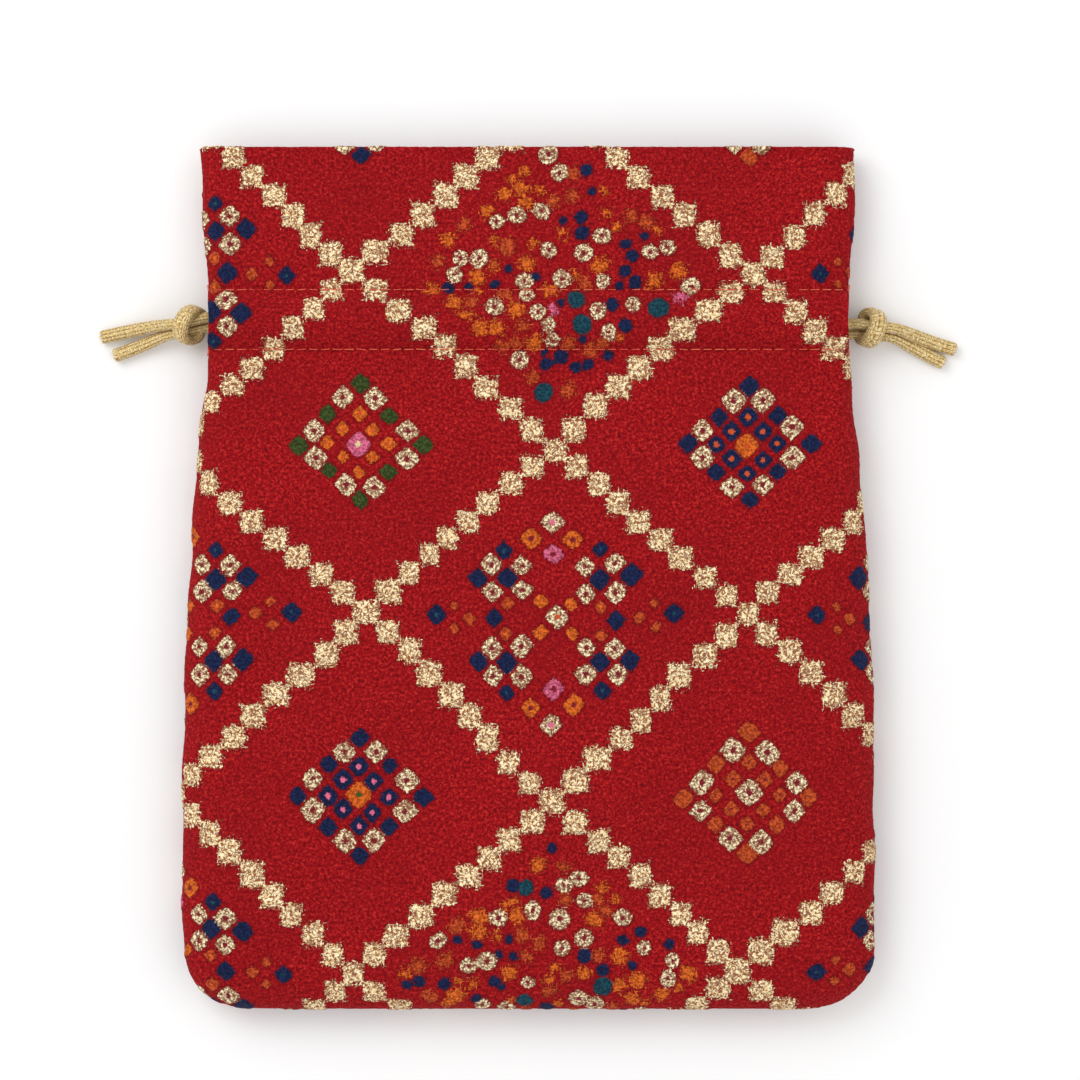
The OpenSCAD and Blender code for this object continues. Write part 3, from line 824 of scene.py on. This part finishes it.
def raised(points, cloth, hand):
    """Lifts the embroidery off the cloth and roughens the nap, along the surface's own normal."""
    look = pattern(cloth[..., 0], cloth[..., 1])
    rag = 0.35 * waves(cloth[..., 0], cloth[..., 1], 2.6, 41, 18)
    lift = BAND_LIFT * smooth((0.4 - (look["gold_d"] + rag)) / 0.8)
    tuft = TUFT_LIFT * smooth((0.35 - look["dot_d"]) / 0.8) - CORE_DIP * smooth((0.3 - look["core_d"]) / 0.8)
    lift = np.maximum(lift, tuft)
    lift = lift + NAP_LIFT * waves(cloth[..., 0], cloth[..., 1], 1.9, 42, 20)
    from_edge = np.arange(lift.shape[1])[::-1] - len(TURN_IN)
    lift = lift * np.clip(from_edge / EDGE_FADE, 0, 1)
    lift[:, 1] = lift[:, 0]
    normal = unit(np.cross(np.gradient(points, axis=1), np.gradient(points, axis=0)) * hand)
    normal[:, 0, 0] = 0
    return points + normal * lift[..., None], look


def gather(piece, hand, zone):
    y = row_y({"body": LOWER, "channel": UPPER, "header": UPPER}[zone])
    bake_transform(piece)
    return piece


def strip(points, cloth, look, rows, hand, facing):
    """Part of a panel grid, as a part for build()."""
    sel = slice(rows[0], rows[1])
    p = points[sel]
    extra = {key: value[sel] for key, value in look.items()}
    extra["cloth"] = cloth[sel]
    return p, quads_of(p.shape[0], p.shape[1], hand * facing < 0), extra


for facing, face in ((1, "front"), (-1, "back")):
    cell = FRONT_CELL if facing > 0 else BACK_CELL
    for hand, word in ((-1, "left"), (1, "right")):
        points, cloth, kind, v = panel_grid(facing, hand, cell)
        points, look = raised(points, cloth, hand)
        out = kind == "out"
        i_low = int(np.flatnonzero(out & (np.abs(v - LOWER) < 1e-6))[0])
        i_up = int(np.flatnonzero(out & (np.abs(v - UPPER) < 1e-6))[0])
        i_hem = int(np.flatnonzero((kind == "in") & (np.abs(v - UPPER) < 1e-6))[0])
        zones = {
            "body": [(0, i_low + 1)],
            "channel": [(i_low, i_up + 1), (i_hem, len(v))],
            "header": [(i_up, i_hem + 1)],
        }
        for zone, spans in zones.items():
            parts = [strip(points, cloth, look, span, hand, facing) for span in spans]
            piece = build(f"{face}_{zone}_{word}", parts, PLUSH, None)
            gather(piece, hand, zone)
            if zone == "body":
                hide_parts(f"{face}_panel")
            else:
                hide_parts(f"{face}_panel", f"{face}_hem")


# ---------------------------------------------------------------- stitching
def stitches(spots, directions, normals, seed):
    """Short threads that rise out of the cloth and dip back into it."""
    r = np.random.default_rng(seed)
    parts = []
    t = np.linspace(-1, 1, 7)
    spots, directions, normals = (np.asarray(a, float) for a in (spots, directions, normals))
    for p, d, n in zip(spots, unit(directions), unit(normals)):
        half = STITCH_L / 2 * r.uniform(0.9, 1.08)
        arch = (1 - t**4) * 0.20 - 0.18
        slant = np.cross(n, d) * r.uniform(-0.1, 0.1)
        line = p + d * (t * half)[:, None] + n * arch[:, None] + slant * t[:, None]
        parts.append((*tube(line, THREAD_R * r.uniform(0.92, 1.1), 7), {}))
    return parts


def on_cloth(facing, x, v, depth):
    """A point on the outside of the cloth, which goes down round the rim at the side."""
    into_rim = max(0.0, abs(x) - float(side(v)) + NECK_RIM) / NECK_RIM
    drop = math.sqrt(max(0.0, 1 - into_rim**2))
    return (x, float(row_y(v)), SEAM_Z + facing * depth * drop - float(lean(v)))


for facing, face in ((1, "front"), (-1, "back")):
    for line_v, line_word in ((UPPER, "upper"), (LOWER, "lower")):
        for hand, word in ((-1, "left"), (1, "right")):
            spots, ways, ups = [], [], []
            edge = float(side(line_v))
            outer = int((edge - 2.2) // STITCH_PITCH)
            inner = int((edge - 12 - STITCH_L / 2) // STITCH_PITCH)
            sides = ((outer, HEADER_DEPTH - 0.28, 1), (inner, HEADER_DEPTH - 2 * FOLD_R + 0.30, -1))
            for count, depth, sign in sides:
                for i in range(0 if hand > 0 else 1, count + 1):
                    x = hand * i * STITCH_PITCH
                    # The upper line lies deeper in the pile than the lower one, and is lost in places.
                    lift = 0.05 if line_v == LOWER else -0.03 + 0.09 * math.sin(x / 7.3 + 1)
                    at = depth + sign * lift
                    a, b = (np.array(on_cloth(facing, x + d, line_v, at)) for d in (-0.4, 0.4))
                    spots.append((a + b) / 2)
                    ways.append(b - a)
                    ups.append(np.cross(b - a, (0, sign * facing, 0)) * -1)
            piece = build(
                f"{face}_{line_word}_stitches_{word}",
                stitches(spots, ways, ups, 60 + hand + facing), THREAD, None,
            )
            gather(piece, hand, "channel")
            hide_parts(f"{face}_{line_word}_channel_stitching")


SEAM_W, HEADER_SEAM_W = 7.5, 6.0  # Widths of the seam allowances.
LAYER_Z, LAYER_SPREAD = 0.22, 0.32  # The two layers' distance from the seam, and how much they open.


def allowance(hand, low, high, width, seed):
    """Two raw cloth edges turned inwards from a side seam, a little wavy."""
    parts = []
    n = int((high - low) / 1.2)
    v = np.linspace(low, high, n)
    c = np.linspace(0, 1, 8)
    V, C = np.meshgrid(v, c, indexing="ij")
    for layer in (-1, 1):
        wave = 0.18 * waves(V, C * width, 9, seed + layer) * C
        wide = width * (1 + 0.03 * waves(V, V * 0, 3.1, seed + 5))
        x = hand * (side(V) - 1.2 - C * wide)
        z = SEAM_Z - lean(V) + layer * (LAYER_Z + LAYER_SPREAD * C) + wave * 0.6
        p = np.stack([x, row_y(V), z], -1)
        extra = {"cloth": np.stack([C * width, V, np.full_like(V, 3.0 * layer)], -1)}
        parts.append((p, quads_of(n, 8, hand * layer > 0), extra))
    return parts


def seam_thread(hand, low, high, seed):
    spots, ways, ups = [], [], []
    for v in np.arange(low, high, STITCH_PITCH):
        slope = float(side(v + 1) - side(v - 1)) / 2
        for sign in (-1, 1):
            spots.append((hand * (float(side(v)) - 2.6), row_y(v), SEAM_Z - float(lean(v)) + sign * 0.62))
            ways.append((hand * slope, 1, 0))
            ups.append((0, 0, sign))
    return stitches(spots, ways, ups, seed)


for hand, word in ((-1, "left"), (1, "right")):
    low, high = UPPER + 3, LENGTH - 2
    header_cloth = allowance(hand, low, high, HEADER_SEAM_W, 71)
    piece = build(f"{word}_header_turn_in", header_cloth, REVERSE, None)
    gather(piece, hand, "header")
    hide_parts(f"{word}_header_allowance")
    piece = build(f"{word}_header_thread", seam_thread(hand, low + 2, high - 2, 72), THREAD, None)
    gather(piece, hand, "header")
    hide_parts(f"{word}_header_stitching")

    top = LOWER - HEM_TAIL
    side_cloth = allowance(hand, 20.0, top - 1, SEAM_W, 73)
    piece = build(f"{word}_side_turn_in", side_cloth, REVERSE, None)
    gather(piece, hand, "body")
    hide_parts(f"{word}_seam_allowance")
    piece = build(f"{word}_side_thread", seam_thread(hand, 22.0, top - 3, 74), THREAD, None)
    gather(piece, hand, "body")
    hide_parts(f"{word}_seam_stitching")


def bottom_allowance():
    parts = []
    x = np.linspace(-74.2, 74.2, 130)
    c = np.linspace(0, 1, 8)
    X, C = np.meshgrid(x, c, indexing="ij")
    for layer in (-1, 1):
        wide = SEAM_W * (1 + 0.03 * waves(X, X * 0, 3.1, 81))
        z = SEAM_Z + layer * (LAYER_Z + LAYER_SPREAD * C) + 0.12 * waves(X, C, 9, 80 + layer) * C
        p = np.stack([X, row_y(1.2 + C * wide), z], -1)
        extra = {"cloth": np.stack([X, C * SEAM_W, np.full_like(X, 9.0)], -1)}
        parts.append((p, quads_of(130, 8, layer > 0), extra))
    return parts


piece = build("bottom_turn_in", bottom_allowance(), REVERSE, "pouch")
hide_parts("bottom_seam_allowance")
spots = [(i * STITCH_PITCH, row_y(2.6), SEAM_Z + s * 0.62) for i in range(-22, 23) for s in (-1, 1)]
ups = [(0, 0, s) for i in range(-22, 23) for s in (-1, 1)]
piece = build("bottom_thread", stitches(spots, [(1, 0, 0)] * len(spots), ups, 82), THREAD, "pouch")
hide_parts("bottom_seam_stitching")


def bar_tacks(hand):
    """Satin bars of thread wrapped round the edge at both ends of a slit."""
    parts = []
    t = np.linspace(-1, 1, 13)
    for line_v in (LOWER - 0.4, UPPER + 0.4):
        for k in range(-3, 4):
            v = line_v + k * 0.34
            edge = float(side(v))
            x = hand * (edge + 0.12 - 2.0 * np.abs(t) ** 3)
            z = SEAM_Z + t * 1.9
            line = np.stack([x, np.full(13, row_y(v)), z], 1)
            parts.append((*tube(line, 0.19, 7), {}))
    return parts


for hand, word in ((-1, "left"), (1, "right")):
    piece = build(f"{word}_slit_bar_tacks", bar_tacks(hand), THREAD, f"{word}_edge")
    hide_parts(f"{word}_bar_tacks")

# ---------------------------------------------------------------- floor and light
floor_mesh = bpy.data.meshes.new("floor")
FLOOR_HALF, FLOOR_Z = 6, -0.0003  # Metres. It lies just under the cloth, so the two never cross.
corners = [(x * FLOOR_HALF, y * FLOOR_HALF, FLOOR_Z) for x, y in ((-1, -1), (1, -1), (1, 1), (-1, 1))]
floor_mesh.from_pydata(corners, [], [(0, 1, 2, 3)])
floor = bpy.data.objects.new("floor", floor_mesh)
scene.collection.objects.link(floor)
t = Tree("floor_white")
t.shader.inputs["Base Color"].default_value = rgb(0.93, 0.93, 0.93)
t.shader.inputs["Roughness"].default_value = 0.9
floor_mesh.materials.append(t.material)

SKY_STRENGTH, KEY_POWER, FILL_POWER = 0.88, 4.4, 1.0
world = bpy.data.worlds.new("studio")
scene.world = world
world.use_nodes = True
world.node_tree.nodes["Background"].inputs[0].default_value = rgb(1, 1, 1)
world.node_tree.nodes["Background"].inputs[1].default_value = SKY_STRENGTH


def area_light(name, place, size, power, colour=(1, 1, 1)):
    data = bpy.data.lights.new(name, "AREA")
    data.shape, data.size, data.energy, data.color = "SQUARE", size, power, colour
    lamp = bpy.data.objects.new(name, data)
    lamp.location = place
    aim = Vector((0, 0, 0)) - Vector(place)
    lamp.rotation_euler = aim.to_track_quat("-Z", "Y").to_euler()
    scene.collection.objects.link(lamp)


area_light("key", (-0.55, 0.55, 0.85), 0.7, KEY_POWER)
area_light("fill", (0.8, -0.3, 0.8), 0.9, FILL_POWER)
